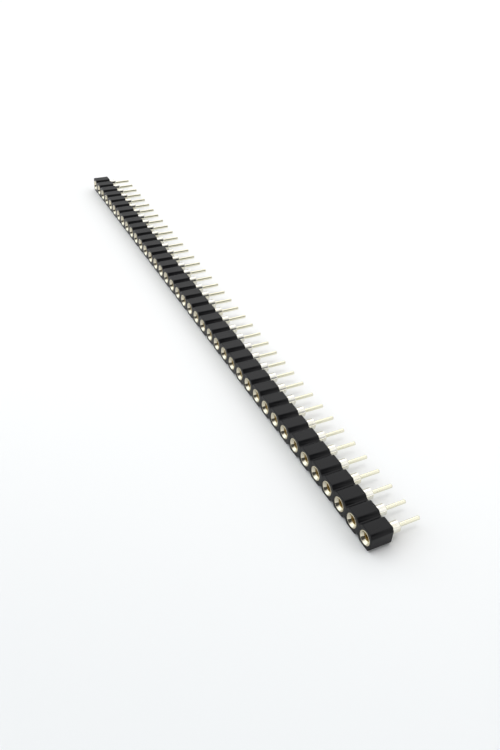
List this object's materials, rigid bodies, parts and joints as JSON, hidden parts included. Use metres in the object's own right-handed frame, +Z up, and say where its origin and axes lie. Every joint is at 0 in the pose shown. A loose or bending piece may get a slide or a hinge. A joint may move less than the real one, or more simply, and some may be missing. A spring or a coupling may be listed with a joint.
{
  "type": "female pin header strip",
  "caption": "Single row female header strip with turned round sockets in a grooved black insulator and straight solder tails.",
  "frame": {"origin": "on the resting surface, under the middle of the strip's whole box", "axes": "+X along the row towards contact 40, the mouths face -Y, the solder tails point to +Y, +Z up from the side it lies on"},
  "size_m": [0.1012, 0.007, 0.0025],
  "materials": {
    "insulator": "satin moulded, nearly black",
    "sleeve": "turned brass with a pale bright plating",
    "clip": "stamped spring alloy, gold plated"
  },
  "bodies": {
    "root": {"insulator": "insulator", "contact_sleeve_01": "sleeve", "contact_sleeve_02": "sleeve", "contact_sleeve_03": "sleeve", "contact_sleeve_04": "sleeve", "contact_sleeve_05": "sleeve", "contact_sleeve_06": "sleeve", "contact_sleeve_07": "sleeve", "contact_sleeve_08": "sleeve", "contact_sleeve_09": "sleeve", "contact_sleeve_10": "sleeve", "contact_sleeve_11": "sleeve", "contact_sleeve_12": "sleeve", "contact_sleeve_13": "sleeve", "contact_sleeve_14": "sleeve", "contact_sleeve_15": "sleeve", "contact_sleeve_16": "sleeve", "contact_sleeve_17": "sleeve", "contact_sleeve_18": "sleeve", "contact_sleeve_19": "sleeve", "contact_sleeve_20": "sleeve", "contact_sleeve_21": "sleeve", "contact_sleeve_22": "sleeve", "contact_sleeve_23": "sleeve", "contact_sleeve_24": "sleeve", "contact_sleeve_25": "sleeve", "contact_sleeve_26": "sleeve", "contact_sleeve_27": "sleeve", "contact_sleeve_28": "sleeve", "contact_sleeve_29": "sleeve", "contact_sleeve_30": "sleeve", "contact_sleeve_31": "sleeve", "contact_sleeve_32": "sleeve", "contact_sleeve_33": "sleeve", "contact_sleeve_34": "sleeve", "contact_sleeve_35": "sleeve", "contact_sleeve_36": "sleeve", "contact_sleeve_37": "sleeve", "contact_sleeve_38": "sleeve", "contact_sleeve_39": "sleeve", "contact_sleeve_40": "sleeve", "spring_clips_01_to_05": "clip", "spring_clips_06_to_10": "clip", "spring_clips_11_to_15": "clip", "spring_clips_16_to_20": "clip", "spring_clips_21_to_25": "clip", "spring_clips_26_to_30": "clip", "spring_clips_31_to_35": "clip", "spring_clips_36_to_40": "clip"}
  },
  "joints": []
}
